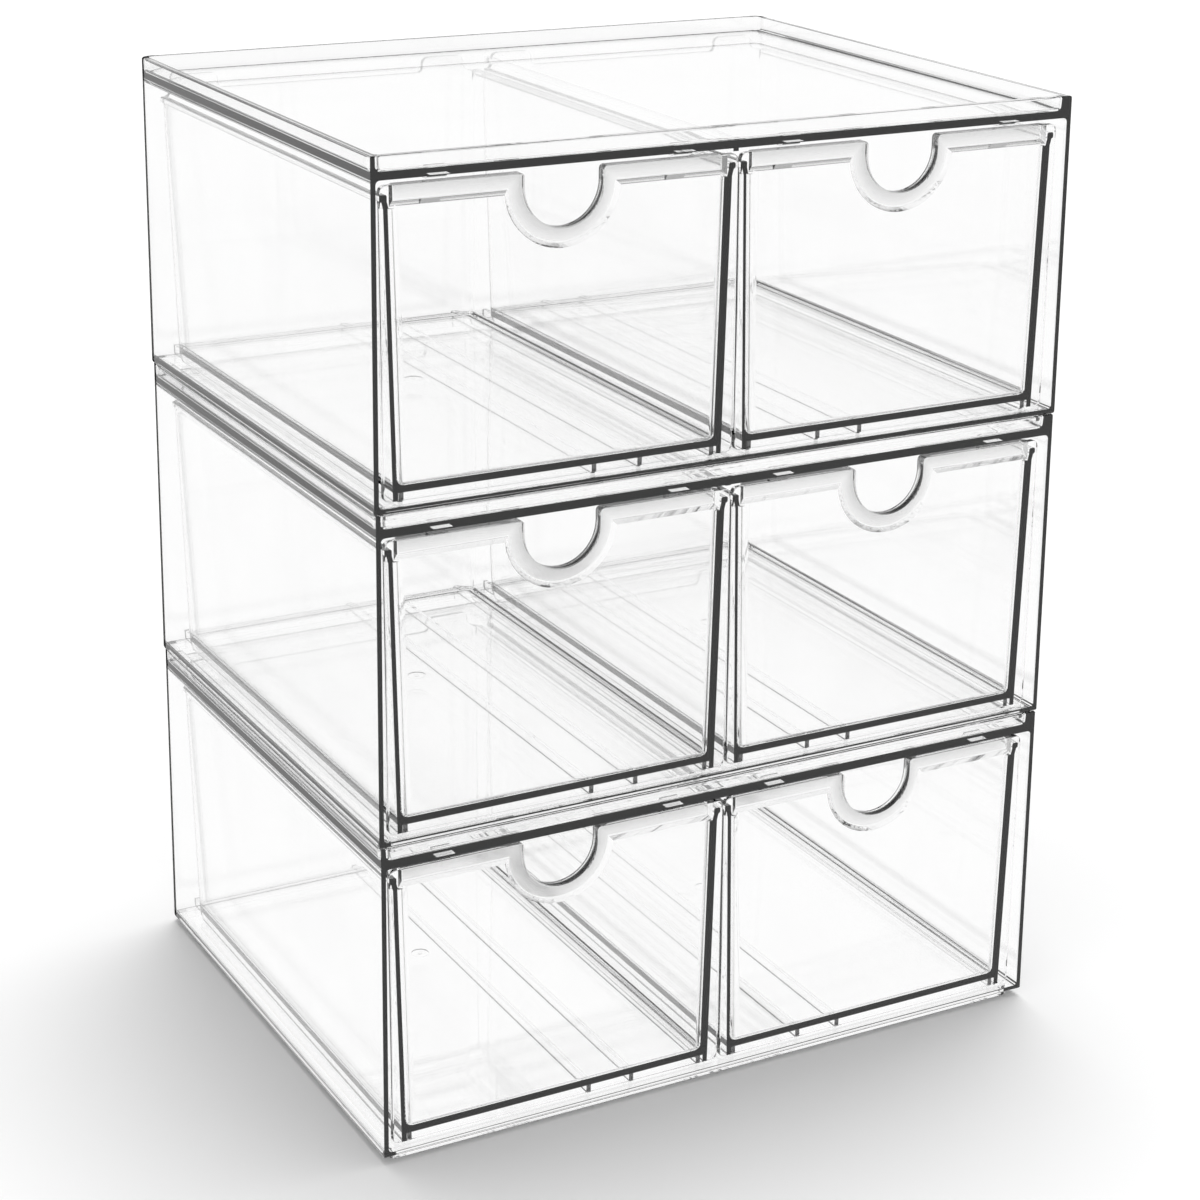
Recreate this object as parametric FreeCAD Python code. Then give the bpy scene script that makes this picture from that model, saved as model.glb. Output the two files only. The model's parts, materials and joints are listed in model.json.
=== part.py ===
import FreeCAD, Part

import math
import os

# Stackable clear drawer cases: three identical cases on top of each other, two drawers in each.
#
# Frame of the whole stack: +Z up, the fronts face -Y, X to the right, millimetres. The origin lies
# on the standing surface, under the middle of the stack.
# Each moulding is drawn in the frame of its own case first: z = 0 at the foot of the case walls,
# y = 0 at the front plane and x = 0 on the case's centre plane.

Vector = FreeCAD.Vector
X_AXIS = Vector(1, 0, 0)
Y_AXIS = Vector(0, 1, 0)
Z_AXIS = Vector(0, 0, 1)

# --- Case ------------------------------------------------------------------------------------
case_names = ("bottom", "middle", "top")
case_width = 310.0              # outside, at the wall foot
case_depth = 246.0              # outside, at the wall foot
case_height = 134.2             # wall foot to rim top, which is also the pitch of the stack
case_lean = 0.6                 # sides and back lean in by this much from foot to rim
side_wall = 2.0
back_wall = 2.4
floor_thickness = 2.4
top_thickness = 2.4
case_back_radius = 5.0          # upright back corners, in plan
wall_foot_round = 1.2           # outer edge round where the wall meets the floor
rim_edge_round = 0.8            # outer edge round at the rim top
bay_corner_radius = 1.75        # along the four corners of the drawer bay
bay_back_radius = 1.5           # where the bay meets the back wall

tray_depth = 6.5                # rim top down to the tray floor
rim_top_width = 2.8
rim_base_width = 3.2
tray_corner_radius = 2.4
tray_floor_round = 2.0

foot_height = 3.0               # foot ring below the floor
foot_width = 2.4
foot_clearance = 0.5            # foot ring to the inside of the rim below it
foot_corner_radius = 3.2

# --- Runners, guides and stops of the case -----------------------------------------------------
runner_height = 4.0             # drawer floors rest on the runner tops
runner_width = 2.0
runner_pair_start = 40.7        # two plain runners a side, from the case's centre plane
runner_pair_spacing = 20.0
panel_stop_clearance = 0.3      # closed front panel to the runner ends
skirt_clearance = 0.6           # outermost runners of a drawer to the skirts that straddle them

centre_rib_width = 2.4
centre_rib_drop = 2.5           # hangs this far below the top panel
centre_rib_front = 6.0
centre_rib_back_gap = 18.6      # back end to the back wall

nub_drop = 2.1                  # stop nubs hang this far below the top panel
nub_front = 3.0
nub_length = 6.0
nub_slope = 3.0                 # length of the sloped lead-in at the nub's front
nub_width = 8.0

# --- Drawer ----------------------------------------------------------------------------------
panel_recess = 2.9              # front plane of the case to the panel's front face
panel_thickness = 2.4
panel_corner_radius = 2.5
panel_edge_round = 0.5
panel_side_gap = 3.3            # panel to the case side
panel_pair_gap = 1.2            # between the two panels of a case
panel_floor_gap = 1.2           # panel to the case floor
panel_top_gap = 2.7             # panel to the case's top panel

bin_wall = 2.2
bin_floor = 2.2
bin_overhang = 1.85             # panel edge beyond the bin's side at the bin's top
bin_back_gap = 7.6              # bin to the back wall of the case, drawer closed
bin_top_drop = 4.3              # panel top down to the bin's back edge
bin_draft = 1.2                 # degrees, on the sides and the back
bin_corner_radius = 4.0         # inside, upright corners
bin_floor_round = 2.5           # inside, round the floor
skirt_floor_gap = 1.0           # skirt to the case floor
skirt_back_setback = 8.0        # skirts end this far ahead of the bin's back
skirt_end_slope = 2.5

bead_width = 3.0                # rolled bead along the top of each bin side
bead_height = 2.5
bead_rise = 0.7                 # bead top above the bin's back edge
bead_shift = 1.0                # bead's middle outside the wall's middle
bead_round = 0.8
neck_height = 2.8               # curved neck between wall and bead
neck_round = 1.0

tab_gap = 0.4                   # stop tab to the case's top panel
tab_width = 20.0
tab_side_setback = 4.6          # tab to the bin's outer side
tab_corner_radius = 3.0
tab_flare = 2.6                 # flare at the tab's base
nub_tab_offset = 3.0            # nub's middle inside the tab's inner end

notch_radius = 16.4             # finger notch
notch_centre_drop = 5.5         # panel top down to the notch's arc centre
notch_corner_round = 1.75
lip_rise = 2.0                  # raised lip on the panel's back
lip_width = 6.0
lip_slope = 2.0                 # its sloped border
lip_end_setback = 4.2           # lip to the panel's side edge
lip_edge_round = 1.2            # along the raised edge of the border

gate_back_setback = 94.0        # gate mark under the bin floor, ahead of the bin's back
gate_well_radius = 4.0
gate_well_depth = 0.5
gate_stub_radius = 1.0
gate_stub_height = 0.3

overcut = 2.0                   # how far cutting bodies run past a face

# --- Heights and places that follow from the sizes above ----------------------------------------
bay_top = case_height - tray_depth - top_thickness
tray_floor = case_height - tray_depth
bay_back = case_depth - back_wall
runner_top = floor_thickness + runner_height

panel_middle = panel_recess + panel_thickness / 2
panel_back = panel_recess + panel_thickness
panel_bottom = floor_thickness + panel_floor_gap
panel_top = bay_top - panel_top_gap
bay_half_width = case_width / 2 - side_wall
drawer_half_width = (bay_half_width - panel_side_gap - panel_pair_gap / 2) / 2
drawer_centre = panel_pair_gap / 2 + drawer_half_width

bin_floor_top = runner_top + bin_floor
bin_top = panel_top - bin_top_drop
bin_back = bay_back - bin_back_gap
skirt_bottom = floor_thickness + skirt_floor_gap
tab_top = bay_top - tab_gap
bead_top = bin_top + bead_rise
bead_bottom = bead_top - bead_height
neck_bottom = bead_bottom - neck_height
draft_slope = math.tan(math.radians(bin_draft))


def case_half_width(height):
    """Half of the case's outside width at a height above the wall foot."""
    return case_width / 2 - case_lean * height / case_height


def case_back(height):
    """Outside face of the back wall at a height above the wall foot."""
    return case_depth - case_lean * height / case_height


def rim_width(height):
    """Thickness of the tray rim, which tapers towards its top."""
    share = (height - tray_floor) / tray_depth
    return rim_base_width + (rim_top_width - rim_base_width) * share


def bin_half_width(height):
    """Half of the bin's outside width, narrower towards the floor by the draft."""
    return drawer_half_width - bin_overhang - draft_slope * (bin_top - height)


def bin_back_face(height):
    """Outside face of the bin's back wall, with the same draft."""
    return bin_back - draft_slope * (bin_top - height)


guide_offset = bin_half_width(runner_top) - bin_wall - skirt_clearance - runner_width / 2


def rounded_loop(points, radii):
    """Closed flat wire through the points, each corner rounded to its own radius."""
    count = len(points)
    starts = []
    middles = []
    ends = []
    for index in range(count):
        corner = points[index]
        towards_last = (points[index - 1] - corner).normalize()
        towards_next = (points[(index + 1) % count] - corner).normalize()
        half_angle = towards_last.getAngle(towards_next) / 2
        setback = radii[index] / math.tan(half_angle)
        bisector = (towards_last + towards_next).normalize()
        reach = radii[index] / math.sin(half_angle) - radii[index]
        starts.append(corner + towards_last * setback)
        middles.append(corner + bisector * reach)
        ends.append(corner + towards_next * setback)
    edges = []
    for index in range(count):
        if radii[index] > 0:
            edges.append(Part.Arc(starts[index], middles[index], ends[index]).toShape())
        edges.append(Part.LineSegment(ends[index], starts[(index + 1) % count]).toShape())
    return Part.Wire(edges)


def front_prism(points, radii, front, back):
    """Outline drawn in the X-Z plane, extruded from front to back."""
    placed = [Vector(x, front, z) for x, z in points]
    return Part.Face(rounded_loop(placed, radii)).extrude(Y_AXIS * (back - front))


def side_prism(points, left, right):
    """Outline drawn in the Y-Z plane, extruded from left to right."""
    placed = [Vector(left, y, z) for y, z in points]
    return Part.Face(rounded_loop(placed, [0] * len(placed))).extrude(X_AXIS * (right - left))


def plan_prism(points, radii, bottom, top):
    """Outline drawn in the X-Y plane, extruded upwards."""
    placed = [Vector(x, y, bottom) for x, y in points]
    return Part.Face(rounded_loop(placed, radii)).extrude(Z_AXIS * (top - bottom))


def leaning_block(half_width, front, back, bottom, top):
    """Block between two heights whose half width, front and back are each a function of height."""
    reach_across = max(half_width(bottom), half_width(top)) + overcut
    sides = front_prism([(-half_width(bottom), bottom), (half_width(bottom), bottom),
                         (half_width(top), top), (-half_width(top), top)], [0] * 4,
                        min(front(bottom), front(top)) - overcut,
                        max(back(bottom), back(top)) + overcut)
    ends = side_prism([(front(bottom), bottom), (back(bottom), bottom),
                       (back(top), top), (front(top), top)], -reach_across, reach_across)
    return sides.common(ends)


def block(left, right, front, back, bottom, top):
    """Plain block between six faces."""
    return Part.makeBox(right - left, back - front, top - bottom, Vector(left, front, bottom))


def mirrored(shape):
    """The same shape on the other side of the centre plane."""
    return shape.mirror(Vector(0, 0, 0), X_AXIS)


def level_edges(shape, height):
    """Edges that lie wholly at one height."""
    return [edge for edge in shape.Edges
            if abs(edge.BoundBox.ZMin - height) + abs(edge.BoundBox.ZMax - height) < 1e-4]


def crosswise_edges(shape, depth):
    """Edges that lie wholly in one plane across the depth."""
    return [edge for edge in shape.Edges
            if abs(edge.BoundBox.YMin - depth) + abs(edge.BoundBox.YMax - depth) < 1e-4]


def upright_edges(shape, at_back):
    """The corner edges that run from the bottom to the top, at the front or at the back."""
    whole = shape.BoundBox
    corners = [edge for edge in shape.Edges if edge.BoundBox.ZLength > 0.99 * whole.ZLength]
    return [edge for edge in corners if (edge.BoundBox.Center.y > whole.Center.y) == at_back]


def case_shell():
    """Leaning outer walls, hollowed by the drawer bay from the front and by the tray from above."""
    body = leaning_block(case_half_width, lambda height: 0, case_back, 0, case_height)
    body = body.makeFillet(case_back_radius, upright_edges(body, True))
    body = body.makeFillet(rim_edge_round, level_edges(body, case_height))
    body = body.makeFillet(wall_foot_round, level_edges(body, 0))

    floor_half = case_half_width(floor_thickness) - side_wall
    top_half = case_half_width(bay_top) - side_wall
    bay = front_prism([(-floor_half, floor_thickness), (floor_half, floor_thickness),
                       (top_half, bay_top), (-top_half, bay_top)],
                      [bay_corner_radius] * 4, -overcut, bay_back)
    bay = bay.makeFillet(bay_back_radius, crosswise_edges(bay, bay_back))

    tray = leaning_block(lambda height: case_half_width(height) - rim_width(height), rim_width,
                         lambda height: case_back(height) - rim_width(height),
                         tray_floor, case_height)
    tray = tray.makeFillet(tray_corner_radius, upright_edges(tray, True) + upright_edges(tray, False))
    tray = tray.makeFillet(tray_floor_round, level_edges(tray, tray_floor))
    return body.cut([bay, tray])


def foot_ring():
    """Ring under the floor that drops inside the rim of the case below and locates the stack."""
    seat = case_height - foot_height
    half = case_half_width(seat) - rim_width(seat) - foot_clearance
    front = rim_width(seat) + foot_clearance
    back = case_back(seat) - rim_width(seat) - foot_clearance
    inner_radius = foot_corner_radius - foot_width
    root = floor_thickness / 2
    outer = plan_prism([(-half, front), (half, front), (half, back), (-half, back)],
                       [foot_corner_radius] * 4, -foot_height, root)
    half = half - foot_width
    front = front + foot_width
    back = back - foot_width
    inner = plan_prism([(-half, front), (half, front), (half, back), (-half, back)],
                       [inner_radius] * 4, -foot_height - overcut, root)
    return outer.cut(inner)


def runner(across):
    """Low rib along the case floor, with a rounded front end that the closed panel stops against."""
    front = panel_back + panel_stop_clearance
    back = bay_back + back_wall / 2
    half = runner_width / 2
    nose = 0.9 * half
    return plan_prism([(across - half, front), (across + half, front),
                       (across + half, back), (across - half, back)],
                      [nose, nose, 0, 0], floor_thickness / 2, runner_top)


def centre_rib():
    """Shallow rib that hangs under the top panel between the two drawers."""
    half = centre_rib_width / 2
    return block(-half, half, centre_rib_front, bay_back - centre_rib_back_gap,
                 bay_top - centre_rib_drop, bay_top + top_thickness / 2)


def tab_inner_end():
    """Distance of a stop tab's inner end from the drawer's centre plane."""
    return bin_half_width(bin_top) - tab_side_setback - tab_width


def stop_nub(across):
    """Nub under the top panel: sloped at the front to let the drawer in, upright at the back."""
    root = bay_top + top_thickness / 2
    tip = bay_top - nub_drop
    back = nub_front + nub_length
    points = [(nub_front, root), (nub_front, bay_top), (nub_front + nub_slope, tip),
              (back, tip), (back, root)]
    return side_prism(points, across - nub_width / 2, across + nub_width / 2)


def make_case():
    """One case: shell, foot ring, runners, centre rib and stop nubs in a single moulding."""
    nub_offset = tab_inner_end() + nub_tab_offset
    features = [foot_ring(), centre_rib()]
    for side in (-1, 1):
        for across in (drawer_centre - guide_offset, drawer_centre + guide_offset,
                       runner_pair_start, runner_pair_start + runner_pair_spacing):
            features.append(runner(side * across))
        for across in (drawer_centre - nub_offset, drawer_centre + nub_offset):
            features.append(stop_nub(side * across))
    return case_shell().fuse(features).removeSplitter()


def bin_shell():
    """Drafted bin, open on top and recessed under its floor, with stop tabs left on its back wall."""
    outer = leaning_block(bin_half_width, lambda height: panel_middle, bin_back_face,
                          skirt_bottom, tab_top)
    outer = outer.makeFillet(bin_corner_radius + bin_wall, upright_edges(outer, True))
    cavity = leaning_block(lambda height: bin_half_width(height) - bin_wall, lambda height: panel_back,
                           lambda height: bin_back_face(height) - bin_wall, bin_floor_top, tab_top)
    cavity = cavity.makeFillet(bin_corner_radius,
                               upright_edges(cavity, True) + upright_edges(cavity, False))
    cavity = cavity.makeFillet(bin_floor_round, level_edges(cavity, bin_floor_top))
    shell = outer.cut(cavity)

    # The wall tops are trimmed down, except where the two stop tabs stand on the back wall.
    reach = bin_half_width(tab_top) + overcut
    trim = block(-reach, reach, 0, bin_back + overcut, bin_top, tab_top + overcut)
    tab_start = tab_inner_end()
    tab_end = tab_start + tab_width
    root = bin_top - overcut
    tab_points = [
        (tab_start - tab_flare, root),
        (tab_start - tab_flare, bin_top),
        (tab_start, bin_top),
        (tab_start, tab_top),
        (tab_end, tab_top),
        (tab_end, bin_top),
        (tab_end + tab_flare, bin_top),
        (tab_end + tab_flare, root),
    ]
    flare_round = 0.95 * tab_flare
    tab_radii = [0, 0, flare_round, tab_corner_radius, tab_corner_radius, flare_round, 0, 0]
    tab = front_prism(tab_points, tab_radii, bin_back - 2 * bin_wall, bin_back + 2 * overcut)
    shell = shell.cut(trim.cut([tab, mirrored(tab)]))

    # The side walls stop lower down, where the necks of the beads take over.
    side_end = bead_back()
    for side in (-1, 1):
        near = side * (bin_half_width(bin_top) - 2 * bin_wall)
        far = side * reach
        shell = shell.cut(block(min(near, far), max(near, far), panel_back, side_end,
                                neck_bottom, bin_top + overcut))

    # Under the floor only the skirts are left, and they end with a slope short of the back.
    recess_half = bin_half_width(runner_top) - bin_wall
    recess = block(-recess_half, recess_half, panel_back, bin_back + overcut,
                   skirt_bottom - overcut, runner_top)
    skirt_end = bin_back - skirt_back_setback
    end_points = [
        (skirt_end - skirt_end_slope, skirt_bottom),
        (skirt_end - skirt_end_slope, skirt_bottom - overcut),
        (bin_back + overcut, skirt_bottom - overcut),
        (bin_back + overcut, runner_top),
        (skirt_end, runner_top),
    ]
    return shell.cut([recess, side_prism(end_points, -reach, reach)])


def bead_back():
    """Back end of the beads, where the upright back corner of the bin starts."""
    return bin_back - bin_wall - bin_corner_radius


def bead():
    """Rolled bead along one bin side, carried on a neck that curves outwards."""
    wall_outer = bin_half_width(neck_bottom)
    wall_inner = wall_outer - bin_wall
    middle = bin_half_width(bin_top) - bin_wall / 2 + bead_shift
    inner = middle - bead_width / 2
    outer = middle + bead_width / 2
    neck_outer = inner + bin_wall
    points = [
        (wall_inner, neck_bottom),
        (wall_outer, neck_bottom),
        (neck_outer, bead_bottom),
        (outer, bead_bottom),
        (outer, bead_top),
        (inner, bead_top),
        (inner, bead_bottom),
    ]
    radii = [0, 0, bead_round / 2, bead_round, bead_round, bead_round, neck_round]
    return front_prism(points, radii, panel_middle, bead_back())


def front_panel():
    """Flat front panel with its finger notch, slightly rounded along every front edge."""
    points = [
        (-drawer_half_width, panel_bottom),
        (drawer_half_width, panel_bottom),
        (drawer_half_width, panel_top),
        (-drawer_half_width, panel_top),
    ]
    panel = front_prism(points, [panel_corner_radius] * 4, panel_recess, panel_back)
    panel = panel.cut(finger_notch())
    return panel.makeFillet(panel_edge_round, crosswise_edges(panel, panel_recess))


def grip_lip():
    """Raised lip on the panel's back: a band under the top edge and a collar round the notch."""
    face = panel_back + lip_rise
    half_length = drawer_half_width - lip_end_setback
    band_foot = panel_top - lip_width - lip_slope
    section = side_prism([(panel_middle, panel_top), (panel_middle, band_foot),
                          (panel_back, band_foot), (face, panel_top - lip_width),
                          (face, panel_top)],
                         -half_length, half_length)
    sloped_ends = plan_prism([(-half_length, panel_middle), (half_length, panel_middle),
                              (half_length, panel_back), (half_length - lip_slope, face),
                              (lip_slope - half_length, face), (-half_length, panel_back)],
                             [0] * 6, band_foot, panel_top)
    base_radius = notch_radius + lip_width + lip_slope
    centre = Vector(0, panel_back, panel_top - notch_centre_drop)
    collar = Part.makeCone(base_radius, base_radius - lip_slope, lip_rise, centre, Y_AXIS)
    reach = base_radius + overcut
    below_edge = block(-reach, reach, panel_back, face + overcut, centre.z - reach, panel_top)
    lip = section.common(sloped_ends).fuse(collar.common(below_edge)).removeSplitter()
    border = [edge for edge in crosswise_edges(lip, face) if edge.BoundBox.ZMin < panel_top - 1e-4]
    return lip.makeFillet(lip_edge_round, border)


def finger_notch():
    """U-shaped cut from the panel's top edge, rounded where it meets that edge."""
    centre = panel_top - notch_centre_drop
    front = panel_recess - overcut
    shoulder = notch_radius + notch_corner_round
    bend = notch_corner_round * (1 - math.sqrt(0.5))
    knee = panel_top - notch_corner_round
    above = panel_top + overcut

    def at(across, height):
        return Vector(across, front, height)

    edges = [
        Part.Arc(at(-notch_radius, centre), at(0, centre - notch_radius),
                 at(notch_radius, centre)).toShape(),
        Part.LineSegment(at(notch_radius, centre), at(notch_radius, knee)).toShape(),
        Part.Arc(at(notch_radius, knee), at(notch_radius + bend, panel_top - bend),
                 at(shoulder, panel_top)).toShape(),
        Part.LineSegment(at(shoulder, panel_top), at(shoulder, above)).toShape(),
        Part.LineSegment(at(shoulder, above), at(-shoulder, above)).toShape(),
        Part.LineSegment(at(-shoulder, above), at(-shoulder, panel_top)).toShape(),
        Part.Arc(at(-shoulder, panel_top), at(-notch_radius - bend, panel_top - bend),
                 at(-notch_radius, knee)).toShape(),
        Part.LineSegment(at(-notch_radius, knee), at(-notch_radius, centre)).toShape(),
    ]
    through = panel_back + lip_rise + overcut - front
    return Part.Face(Part.Wire(edges)).extrude(Y_AXIS * through)


def gate_well():
    """Round well under the bin floor, with the stub that the moulding gate leaves in its middle."""
    along = bin_back - gate_back_setback
    roof = runner_top + gate_well_depth
    well = Part.makeCylinder(gate_well_radius, gate_well_depth + overcut,
                             Vector(0, along, runner_top - overcut))
    stub = Part.makeCylinder(gate_stub_radius, gate_stub_height,
                             Vector(0, along, roof - gate_stub_height))
    return well.cut(stub)


def make_drawer():
    """One drawer, drawn on its own centre plane and closed in its case."""
    notch = finger_notch()
    side_bead = bead()
    pieces = [front_panel(), grip_lip().cut(notch), side_bead, mirrored(side_bead)]
    return bin_shell().cut([notch, gate_well()]).fuse(pieces).removeSplitter()


def main():
    os.makedirs("parts", exist_ok=True)
    case = make_case()
    drawer = make_drawer()
    for level, name in enumerate(case_names):
        to_stack = Vector(0, -case_depth / 2, foot_height + level * case_height)
        placed = {
            name + "_case": case.translated(to_stack),
            name + "_left_drawer": drawer.translated(to_stack - X_AXIS * drawer_centre),
            name + "_right_drawer": drawer.translated(to_stack + X_AXIS * drawer_centre),
        }
        for node, shape in placed.items():
            shape.exportStep(os.path.join("parts", node + ".step"))


main()
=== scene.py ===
import json
import math

import bmesh
import bpy
from mathutils import Matrix, Vector

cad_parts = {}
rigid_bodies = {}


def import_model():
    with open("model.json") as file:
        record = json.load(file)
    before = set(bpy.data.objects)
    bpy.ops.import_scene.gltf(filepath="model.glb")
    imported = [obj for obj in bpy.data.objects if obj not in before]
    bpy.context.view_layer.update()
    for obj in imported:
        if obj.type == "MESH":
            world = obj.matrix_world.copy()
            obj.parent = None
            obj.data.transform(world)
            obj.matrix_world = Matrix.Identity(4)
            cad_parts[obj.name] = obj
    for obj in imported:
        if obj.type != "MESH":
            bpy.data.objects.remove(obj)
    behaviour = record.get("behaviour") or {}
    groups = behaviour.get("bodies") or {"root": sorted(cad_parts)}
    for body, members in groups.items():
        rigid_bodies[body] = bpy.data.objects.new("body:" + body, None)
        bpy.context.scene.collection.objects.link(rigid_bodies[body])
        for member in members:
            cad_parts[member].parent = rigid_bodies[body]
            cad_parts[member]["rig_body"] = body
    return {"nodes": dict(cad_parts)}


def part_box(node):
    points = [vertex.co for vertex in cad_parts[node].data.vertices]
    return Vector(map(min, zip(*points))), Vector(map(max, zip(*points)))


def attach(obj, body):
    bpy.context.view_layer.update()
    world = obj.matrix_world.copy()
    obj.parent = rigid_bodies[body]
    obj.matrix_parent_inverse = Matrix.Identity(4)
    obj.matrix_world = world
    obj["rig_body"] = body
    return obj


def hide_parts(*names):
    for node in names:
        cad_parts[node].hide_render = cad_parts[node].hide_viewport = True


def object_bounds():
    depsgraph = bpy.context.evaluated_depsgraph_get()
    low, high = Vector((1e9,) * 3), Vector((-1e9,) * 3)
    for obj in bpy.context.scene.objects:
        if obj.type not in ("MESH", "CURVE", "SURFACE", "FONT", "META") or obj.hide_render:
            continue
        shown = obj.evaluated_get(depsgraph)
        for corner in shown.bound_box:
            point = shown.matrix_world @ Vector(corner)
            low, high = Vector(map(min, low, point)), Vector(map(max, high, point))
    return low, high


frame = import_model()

scene = bpy.context.scene
cad_low, cad_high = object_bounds()

# ---------------------------------------------------------------------------------------------
# Camera: a short telephoto held above the top of the stack, to the left of its front, and turned
# down a little. Its view is square.
# ---------------------------------------------------------------------------------------------
sensor_width = 36.0
focal_length = 84.31
frame_shift = (-0.05, -0.10)
camera_place = Vector((-0.54621, -1.02895, 0.59786))
camera_right = Vector((0.872979, -0.487513, 0.015478))
camera_down = Vector((-0.134139, -0.270466, -0.953339))
camera_ahead = Vector((0.468951, 0.830168, -0.301506))
wall_bounces = 64
mirror_bounces = 16
clear_passes = 32

camera_data = bpy.data.cameras.new("camera")
camera_data.sensor_width = sensor_width
camera_data.lens = focal_length
camera_data.shift_x, camera_data.shift_y = frame_shift
camera = bpy.data.objects.new("camera", camera_data)
turn = Matrix((camera_right, -camera_down, -camera_ahead)).transposed().to_4x4()
camera.matrix_world = Matrix.Translation(camera_place) @ turn
scene.collection.objects.link(camera)
scene.camera = camera
scene.view_settings.view_transform = "Standard"

# A look through the stack crosses more than a dozen walls, and light held inside a wall bounces
# dozens of times before it comes out at an edge.
scene.cycles.max_bounces = wall_bounces
scene.cycles.transmission_bounces = wall_bounces
scene.cycles.glossy_bounces = mirror_bounces
scene.cycles.transparent_max_bounces = clear_passes

# ---------------------------------------------------------------------------------------------
# Studio floor: a sheet of white paper under the stack. It is matt, keeps the stack's soft shadow
# for the eye, and is plain white wherever the clear plastic shows or mirrors it.
# ---------------------------------------------------------------------------------------------
floor_size = 8.0
floor_drop = 0.0001
paper_white = "F4F4F4"
clear_white = "FFFFFF"
white_strength = 1.0


def linear(hex_colour):
    """A linear RGBA colour from an sRGB hex value."""
    channels = [int(hex_colour[i:i + 2], 16) / 255 for i in (0, 2, 4)]
    return tuple(c / 12.92 if c <= 0.04045 else ((c + 0.055) / 1.055) ** 2.4
                 for c in channels) + (1.0,)


def add_node(tree, kind, settings=None, links=None):
    """Adds a node, sets its properties or unlinked inputs, and links other nodes' outputs to it."""
    node = tree.nodes.new(kind)
    for key, value in (settings or {}).items():
        if isinstance(key, str) and hasattr(node, key):
            setattr(node, key, value)
        else:
            node.inputs[key].default_value = value
    for key, source in (links or {}).items():
        tree.links.new(source, node.inputs[key])
    return node


def seen_by_plastic(nodes, path):
    """One for what the clear plastic shows or mirrors, and nought for everything else."""
    either = add_node(nodes, "ShaderNodeMath", {"operation": "MAXIMUM"},
                      {0: path.outputs["Is Transmission Ray"], 1: path.outputs["Is Glossy Ray"]})
    return either.outputs[0]


bpy.ops.object.select_all(action="DESELECT")
bpy.ops.mesh.primitive_plane_add(size=floor_size, location=(0, 0, -floor_drop))
floor = bpy.context.object
floor.name = "studio_floor"
bpy.ops.object.transform_apply(location=True, rotation=True, scale=True)

# Uncoated white paper scatters light evenly: no gloss, only the shadow that falls on it.
paper = bpy.data.materials.new("matt_white_paper")
paper.use_nodes = True
nodes = paper.node_tree
nodes.nodes.clear()
path = add_node(nodes, "ShaderNodeLightPath")
matt = add_node(nodes, "ShaderNodeBsdfDiffuse", {"Color": linear(paper_white)})
behind_plastic = add_node(nodes, "ShaderNodeEmission",
                          {"Color": linear(clear_white), "Strength": white_strength})
seen = add_node(nodes, "ShaderNodeMixShader", links={
    0: seen_by_plastic(nodes, path), 1: matt.outputs[0], 2: behind_plastic.outputs[0]})
add_node(nodes, "ShaderNodeOutputMaterial", links={"Surface": seen.outputs[0]})
floor.data.materials.append(paper)

# ---------------------------------------------------------------------------------------------
# Light: a white cloth tent all round, and a broad silk overhead that draws the stack's soft shadow
# on the floor. For the plastic the tent is white to well above the eye and greyer overhead, which
# gives rounds their shading; the lips' grey is painted shade in their material.
# ---------------------------------------------------------------------------------------------
tent_light = 0.74
tent_white = 1.0
tent_overhead = 0.45
tent_rise = (0.45, 0.85)
silk_light = 1.63
silk_spread = math.radians(31)
silk_turn_about_x = math.radians(-10)
silk_turn_about_y = math.radians(8.4)

world = bpy.data.worlds.new("white_tent")
scene.world = world
world.use_nodes = True
nodes = world.node_tree
nodes.nodes.clear()
path = add_node(nodes, "ShaderNodeLightPath")
direction = add_node(nodes, "ShaderNodeTexCoord")
height = add_node(nodes, "ShaderNodeSeparateXYZ", links={0: direction.outputs["Generated"]})
tent_tone = add_node(nodes, "ShaderNodeMapRange",
                     {"interpolation_type": "SMOOTHSTEP", "From Min": tent_rise[0],
                      "From Max": tent_rise[1], "To Min": tent_white, "To Max": tent_overhead},
                     {"Value": height.outputs["Z"]})
light = add_node(nodes, "ShaderNodeBackground",
                 {"Color": linear(clear_white), "Strength": tent_light})
backdrop = add_node(nodes, "ShaderNodeBackground",
                    {"Color": linear(clear_white), "Strength": white_strength})
in_plastic = add_node(nodes, "ShaderNodeBackground", {"Color": linear(clear_white)},
                      {"Strength": tent_tone.outputs[0]})
unseen = add_node(nodes, "ShaderNodeMixShader", links={
    0: seen_by_plastic(nodes, path), 1: light.outputs[0], 2: in_plastic.outputs[0]})
seen = add_node(nodes, "ShaderNodeMixShader", links={
    0: path.outputs["Is Camera Ray"], 1: unseen.outputs[0], 2: backdrop.outputs[0]})
add_node(nodes, "ShaderNodeOutputWorld", links={"Surface": seen.outputs[0]})

silk_data = bpy.data.lights.new("overhead_silk", "SUN")
silk_data.energy = silk_light
silk_data.angle = silk_spread
silk = bpy.data.objects.new("overhead_silk", silk_data)
silk.matrix_world = (Matrix.Rotation(silk_turn_about_x, 4, "X")
                     @ Matrix.Rotation(silk_turn_about_y, 4, "Y"))
silk.visible_transmission = False
silk.visible_glossy = False
scene.collection.objects.link(silk)

# ---------------------------------------------------------------------------------------------
# Cases: three open-fronted boxes of clear crystal polystyrene, each injection moulded in one with
# its tray rim, foot ring, drawer runners, centre rib and stop nubs, and stacked loose.
# ---------------------------------------------------------------------------------------------
foot_height = 0.003
air_film = 0.00003
merge_distance = 1e-6
same_height = 1e-5
flat_limit = math.radians(0.08)
round_limit = math.radians(32)
flat_share = 3.0


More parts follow.
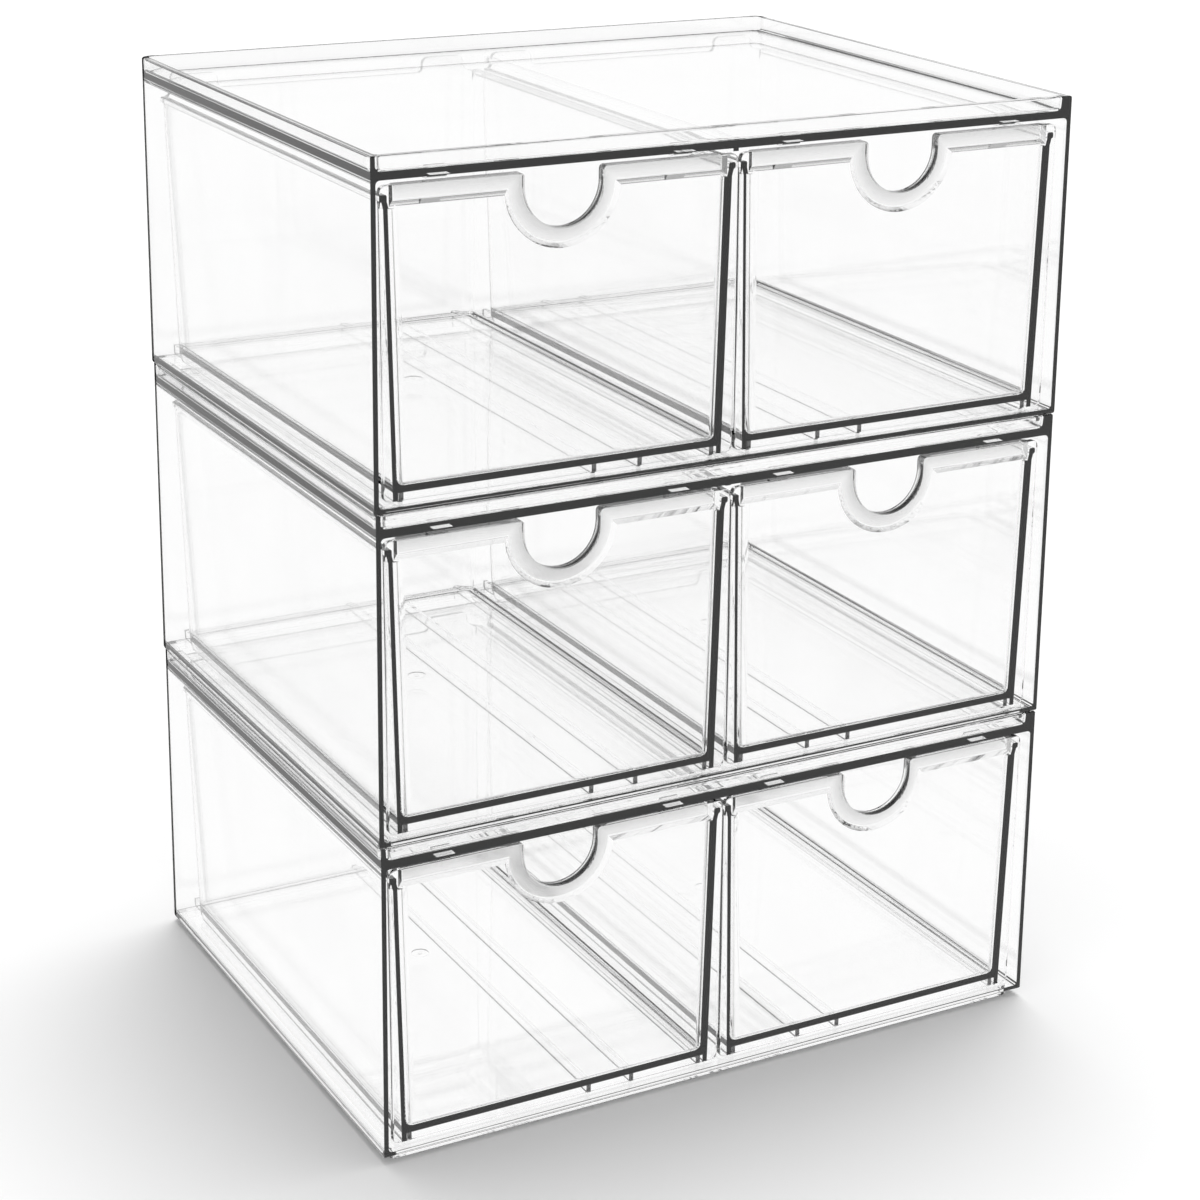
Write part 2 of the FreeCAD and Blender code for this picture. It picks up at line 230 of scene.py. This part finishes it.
def moulded_skin(mesh, roll=None):
    """Sets corner normals so that flat faces stay flat and rounds run smoothly into them. The roll
    of an edge, if there is one, turns them further."""
    work = bmesh.new()
    work.from_mesh(mesh)
    work.faces.ensure_lookup_table()

    # Faces that lie in one plane are one flat, and each flat is known by one of its faces.
    flat = list(range(len(work.faces)))

    def root(index):
        while flat[index] != index:
            flat[index] = flat[flat[index]]
            index = flat[index]
        return index

    for edge in work.edges:
        if len(edge.link_faces) == 2 and edge.calc_face_angle(math.pi) < flat_limit:
            flat[root(edge.link_faces[0].index)] = root(edge.link_faces[1].index)
    area = {}
    for face in work.faces:
        area[root(face.index)] = area.get(root(face.index), 0.0) + face.calc_area()
    size = [area[root(face.index)] for face in work.faces]

    # A corner keeps its flat's normal where that flat is the widest there, and takes the widest
    # one's where that is far wider. Any other takes the mean of the faces that meet smoothly in it.
    near = math.cos(round_limit)
    normals = []
    for face in work.faces:
        for loop in face.loops:
            beside = [f for f in loop.vert.link_faces if f.normal.dot(face.normal) > near]
            widest = max(beside, key=lambda f: size[f.index], default=face)
            if not beside or root(widest.index) == root(face.index) \
                    or size[widest.index] > flat_share * size[face.index]:
                normal = widest.normal.copy()
            else:
                normal = Vector()
                for f in beside:
                    corner = next(c for c in f.loops if c.vert is loop.vert)
                    normal += f.normal * corner.calc_angle()
                normal.normalize()
            normals.append(roll(loop.vert.co, face.normal, normal) if roll else normal)
    work.free()
    mesh.shade_smooth()
    mesh.normals_split_custom_set(normals)


def moulding(name, contact_height, roll=None):
    """A merged copy of a CAD node with true round normals. The face that it stands on is lifted by
    the thickness of the air film that keeps two mouldings apart."""
    bpy.ops.object.select_all(action="DESELECT")
    node = frame["nodes"][name]
    piece = node.copy()
    piece.data = node.data.copy()
    piece.parent = None
    piece.name = name + "_moulding"
    # The copy drops the marks that make the node a CAD node.
    for key in [k for k in piece.keys() if k.startswith("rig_")]:
        del piece[key]
    scene.collection.objects.link(piece)
    piece.select_set(True)
    bpy.context.view_layer.objects.active = piece
    bpy.ops.object.mode_set(mode="EDIT")
    bpy.ops.mesh.select_all(action="SELECT")
    bpy.ops.mesh.remove_doubles(threshold=merge_distance)
    bpy.ops.mesh.select_all(action="DESELECT")
    bpy.ops.object.mode_set(mode="OBJECT")
    for vertex in piece.data.vertices:
        vertex.select = abs(vertex.co.z - contact_height) < same_height
    bpy.ops.object.mode_set(mode="EDIT")
    bpy.ops.transform.translate(value=(0, 0, air_film))
    bpy.ops.object.mode_set(mode="OBJECT")
    moulded_skin(piece.data, roll)
    piece.data.materials.clear()
    return piece


crystal_ior = 1.57
crystal_absorption = 1.2
clean_tone = "FFFFFF"
lost_and_shade_tone = "000000"
haze_share = (0.45, 0.75)
haze_detail = 3.0
scuff_share = (0.60, 0.80)
scuff_detail = 4.0
thickest_wall = 0.0045
lost_inside = 0.030
plain_facing = 0.5
# Where the skin turns this far from the eye it gets a painted dark edge line, at most this dark.
painted_edge_facing = (0.88, 0.98)
painted_edge_dark = 0.7
millimetre = 0.001

# A mix node has sockets of one name for each kind of value, so a colour's go by their number.
first_colour, second_colour, mixed_colour = 6, 7, 2


def clear_crystal(name, haze_tone, haze_width, scuff_width, scuff_roughness, shade_and_satin=None,
                  painted_outline=None):
    """Crystal polystyrene from a polished mould: glass-clear, with a mirror skin, a breath of haze
    and light scuffs. Light held inside a wall loses a share at each bounce, so that walls seen edge
    on are dark. Where the outer skin turns away from the eye it gets painted shade, a dark edge
    line.
    Shade and satin, if given, paint shade on part of the skin and dull it, and a painted outline,
    if given, paints dark lines on some of its edges."""
    crystal = bpy.data.materials.new(name)
    crystal.use_nodes = True
    nodes = crystal.node_tree
    nodes.nodes.clear()

    # Haze comes in wide clouds from the flow of the melt, and scuffs in small patches from use.
    # Real scuffs are finer, and are drawn as coarse as they need to be to show.
    place = add_node(nodes, "ShaderNodeTexCoord")
    haze = add_node(nodes, "ShaderNodeTexNoise", {"Scale": 1 / haze_width, "Detail": haze_detail},
                    {"Vector": place.outputs["Object"]})
    haze_mix = add_node(nodes, "ShaderNodeMapRange",
                        {"From Min": haze_share[0], "From Max": haze_share[1]},
                        {"Value": haze.outputs["Fac"]})
    tone = add_node(nodes, "ShaderNodeMix",
                    {"data_type": "RGBA", first_colour: linear(clean_tone),
                     second_colour: linear(haze_tone)},
                    {0: haze_mix.outputs[0]}).outputs[mixed_colour]
    scuff = add_node(nodes, "ShaderNodeTexNoise",
                     {"Scale": 1 / scuff_width, "Detail": scuff_detail},
                     {"Vector": place.outputs["Object"]})
    polish = add_node(nodes, "ShaderNodeMapRange",
                      {"From Min": scuff_share[0], "From Max": scuff_share[1], "To Min": 0.0,
                       "To Max": scuff_roughness}, {"Value": scuff.outputs["Fac"]}).outputs[0]
    if shade_and_satin:
        tone, polish = shade_and_satin(nodes, tone, polish)
    glassy = add_node(nodes, "ShaderNodeBsdfPrincipled",
                      {"IOR": crystal_ior, "Transmission Weight": 1.0},
                      {"Base Color": tone, "Roughness": polish})

    # Light that goes further inside the plastic than the thickest wall has run on along a wall,
    # and the further it went, the less of it is left.
    path = add_node(nodes, "ShaderNodeLightPath")
    side = add_node(nodes, "ShaderNodeNewGeometry")
    held = add_node(nodes, "ShaderNodeMapRange",
                    {"From Min": thickest_wall, "From Max": lost_inside},
                    {"Value": path.outputs["Ray Length"]})
    held_inside = add_node(nodes, "ShaderNodeMath", {"operation": "MULTIPLY"},
                           {0: held.outputs[0], 1: side.outputs["Backfacing"]})

    # Painted shade: the outer skin is painted dark where it turns away from the eye, a dark edge
    # line on its outer side only.
    facing = add_node(nodes, "ShaderNodeLayerWeight", {"Blend": plain_facing}).outputs["Facing"]
    painted_edge = add_node(nodes, "ShaderNodeMapRange",
                    {"interpolation_type": "SMOOTHSTEP", "From Min": painted_edge_facing[0],
                     "From Max": painted_edge_facing[1], "To Max": painted_edge_dark},
                    {"Value": facing}).outputs[0]
    if painted_outline:
        painted_edge = add_node(nodes, "ShaderNodeMath", {"operation": "MAXIMUM"},
                        {0: painted_edge, 1: painted_outline(nodes, place.outputs["Object"], facing)}).outputs[0]
    outer = add_node(nodes, "ShaderNodeMath", {"operation": "SUBTRACT", 0: 1.0},
                     {1: side.outputs["Backfacing"]})
    dark = add_node(nodes, "ShaderNodeMath", {"operation": "MULTIPLY_ADD"},
                    {0: painted_edge, 1: outer.outputs[0], 2: held_inside.outputs[0]})

    # A black see-through skin takes both the light lost inside the plastic and the painted shade of
    # the edge lines.
    lost_light_and_painted_shade = add_node(nodes, "ShaderNodeBsdfTransparent", {"Color": linear(lost_and_shade_tone)})
    skin = add_node(nodes, "ShaderNodeMixShader", links={
        0: dark.outputs[0], 1: glassy.outputs[0], 2: lost_light_and_painted_shade.outputs[0]})
    body = add_node(nodes, "ShaderNodeVolumeAbsorption",
                    {"Color": linear(lost_and_shade_tone), "Density": crystal_absorption})
    add_node(nodes, "ShaderNodeOutputMaterial",
             links={"Surface": skin.outputs[0], "Volume": body.outputs[0]})
    return crystal


# The case's painted outline: how far in from the back corners and rim it is painted, at which slant
# from the eye, and how dark.
corner_reach = 0.007
corner_facing = (0.50, 0.66)
painted_corner_dark = 0.9
rim_reach = (0.0036, 0.0009)
rim_facing = (0.60, 0.78)
painted_rim_dark = 0.55


def case_painted_outline(nodes, place, facing):
    """Paints shade: a dark outline drawn on the case's outer back corners and its back rim, where
    the skin turns aslant from the eye."""
    spot = add_node(nodes, "ShaderNodeSeparateXYZ", links={0: place})
    across = add_node(nodes, "ShaderNodeMath", {"operation": "ABSOLUTE"}, {0: spot.outputs["X"]})
    back_corner = ((across.outputs[0], cad_high.x - corner_reach),
                   (spot.outputs["Y"], cad_high.y - corner_reach))
    back_rim = ((spot.outputs["Y"], cad_high.y - rim_reach[0]),
                (spot.outputs["Z"], cad_high.z - rim_reach[1]))
    lines = []
    for limits, slant, dark in ((back_corner, corner_facing, painted_corner_dark),
                                (back_rim, rim_facing, painted_rim_dark)):
        near = [add_node(nodes, "ShaderNodeMath", {"operation": "GREATER_THAN", 1: limit},
                         {0: value}) for value, limit in limits]
        there = add_node(nodes, "ShaderNodeMath", {"operation": "MULTIPLY"},
                         {0: near[0].outputs[0], 1: near[1].outputs[0]})
        aslant = add_node(nodes, "ShaderNodeMapRange",
                          {"interpolation_type": "SMOOTHSTEP", "From Min": slant[0],
                           "From Max": slant[1], "To Max": dark}, {"Value": facing})
        lines.append(add_node(nodes, "ShaderNodeMath", {"operation": "MULTIPLY"},
                              {0: there.outputs[0], 1: aslant.outputs[0]}))
    darkest = add_node(nodes, "ShaderNodeMath", {"operation": "MAXIMUM"},
                       {0: lines[0].outputs[0], 1: lines[1].outputs[0]})
    return darkest.outputs[0]


# The cases are clear with a trace of haze in wide clouds, and a painted dark outline at the back.
case_crystal = clear_crystal("moulded_crystal_polystyrene_case", haze_tone="FDFDFD",
                             haze_width=35 * millimetre, scuff_width=6 * millimetre,
                             scuff_roughness=0.02, painted_outline=case_painted_outline)
for case in ("bottom_case", "middle_case", "top_case"):
    floor_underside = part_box(case)[0].z + foot_height
    piece = moulding(case, floor_underside)
    piece.data.materials.append(case_crystal)
    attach(piece, frame["nodes"][case]["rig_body"])
    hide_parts(case)

# ---------------------------------------------------------------------------------------------
# Drawers: six open bins of the same clear crystal polystyrene, each moulded in one with its proud
# front panel, U notch, grip lip, rolled rim and stop tabs. They slide on the case's runners.
# ---------------------------------------------------------------------------------------------
runner_top = 0.0064
panel_thickness = 0.0024
panel_drop = 0.0023
notch_radius = 0.0164
notch_drop = 0.0055
lip_rise = 0.002
lip_width = 0.006
edge_round = 0.0005
roll_turn = math.radians(38)
skirt_drop = 0.003
skirt_middle = 0.0692
skirt_turn = math.radians(60)
surface_slack = 0.00005
lip_slack = 0.0001
square_on = 0.95
land_square_on = 0.99
least_across = 0.01


def notch_axis(low, high):
    """The middle of the arc of a drawer's finger notch, in X and Z."""
    return (low.x + high.x) / 2, high.z - panel_drop - notch_drop


def drawer_roll(low, high, underside):
    """Turns the normals across the notch's wall and the skirts' lower edges, as on edges that are
    rolled over from side to side."""
    middle, height = notch_axis(low, high)
    front, back = low.y + edge_round, low.y + panel_thickness + lip_rise

    def roll(place, face_normal, normal):
        at_skirt_foot = abs(place.z - underside + skirt_drop) < surface_slack
        if at_skirt_foot and face_normal.z < -square_on:
            hand = math.copysign(1, place.x - middle)
            if abs(place.x - middle) < skirt_middle:
                hand = -hand
            return Vector((hand * math.sin(skirt_turn), 0, -math.cos(skirt_turn)))
        out = math.hypot(place.x - middle, min(place.z - height, 0)) - notch_radius
        if (abs(out) > surface_slack or abs(face_normal.y) > square_on
                or place.y > back + lip_slack):
            return normal
        share = min(max((place.y - front) / (back - front), 0), 1)
        turn = (2 * share - 1) * roll_turn
        across = Vector((normal.x, 0, normal.z))
        if across.length < least_across:
            return normal
        return across.normalized() * math.cos(turn) + Vector((0, math.sin(turn), 0))
    return roll


def mark_lip(piece, low, high):
    """Marks the back of the grip lip, and lays a plan of the panel out from the notch's middle."""
    middle, height = notch_axis(low, high)
    lip_back = low.y + panel_thickness + lip_rise
    mesh = piece.data
    plan = mesh.uv_layers.new(name="panel_plan")
    land = mesh.attributes.new("lip_land", "FLOAT", "FACE")
    for face in mesh.polygons:
        on_land = face.normal.y > land_square_on and abs(face.center.y - lip_back) < lip_slack
        land.data[face.index].value = 1.0 if on_land else 0.0
        for corner in face.loop_indices:
            place = mesh.vertices[mesh.loops[corner].vertex_index].co
            plan.data[corner].uv = (place.x - middle, place.z - height)


# The lip's back gets painted shade, greyest at its free edge and fading outward, and a satin
# roughness.
lip_shade_tone = "BEBEBE"
satin_roughness = 0.15
lip_shade_far = 0.3


def lip_shade_and_satin(nodes, tone, polish):
    """The lip's back is satin from the mould, which blurs light; its grey, most at its free edge,
    is painted shade.
    """
    plan = add_node(nodes, "ShaderNodeUVMap", {"uv_map": "panel_plan"})
    place = add_node(nodes, "ShaderNodeSeparateXYZ", links={0: plan.outputs[0]})
    below = add_node(nodes, "ShaderNodeMath", {"operation": "MINIMUM", 1: 0.0},
                     {0: place.outputs[1]})
    spoke = add_node(nodes, "ShaderNodeCombineXYZ",
                     links={0: place.outputs[0], 1: below.outputs[0]})
    reach = add_node(nodes, "ShaderNodeVectorMath", {"operation": "LENGTH"},
                     {0: spoke.outputs[0]})
    from_notch = add_node(nodes, "ShaderNodeMath", {"operation": "SUBTRACT", 1: notch_radius},
                          {0: reach.outputs["Value"]})
    from_top = add_node(nodes, "ShaderNodeMath", {"operation": "SUBTRACT", 0: notch_drop},
                        {1: place.outputs[1]})
    inward = add_node(nodes, "ShaderNodeMath", {"operation": "MINIMUM"},
                      {0: from_notch.outputs[0], 1: from_top.outputs[0]})
    fade = add_node(nodes, "ShaderNodeMapRange",
                    {"interpolation_type": "SMOOTHSTEP", "From Min": 0.0, "From Max": lip_width,
                     "To Min": 1.0, "To Max": lip_shade_far}, {"Value": inward.outputs[0]})
    land = add_node(nodes, "ShaderNodeAttribute", {"attribute_name": "lip_land"})
    shade_and_satin = add_node(nodes, "ShaderNodeMath", {"operation": "MULTIPLY"},
                    {0: fade.outputs[0], 1: land.outputs["Fac"]})
    lip_shaded = add_node(nodes, "ShaderNodeMix",
                      {"data_type": "RGBA", second_colour: linear(lip_shade_tone)},
                      {0: shade_and_satin.outputs[0], first_colour: tone})
    satin = add_node(nodes, "ShaderNodeMath", {"operation": "MULTIPLY_ADD", 1: satin_roughness},
                     {0: land.outputs["Fac"], 2: polish})
    return lip_shaded.outputs[mixed_colour], satin.outputs[0]


# The drawers are a shade clearer than the cases, with smaller clouds of haze, and a satin lip with
# painted shade on its back.
drawer_crystal = clear_crystal("moulded_crystal_polystyrene_drawer", haze_tone="FEFEFE",
                               haze_width=28 * millimetre, scuff_width=4 * millimetre,
                               scuff_roughness=0.02, shade_and_satin=lip_shade_and_satin)
for tier in ("bottom", "middle", "top"):
    bin_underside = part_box(tier + "_case")[0].z + foot_height + runner_top
    for hand in ("left", "right"):
        drawer = tier + "_" + hand + "_drawer"
        low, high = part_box(drawer)
        piece = moulding(drawer, bin_underside, drawer_roll(low, high, bin_underside))
        mark_lip(piece, low, high)
        piece.data.materials.append(drawer_crystal)
        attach(piece, frame["nodes"][drawer]["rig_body"])
        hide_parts(drawer)
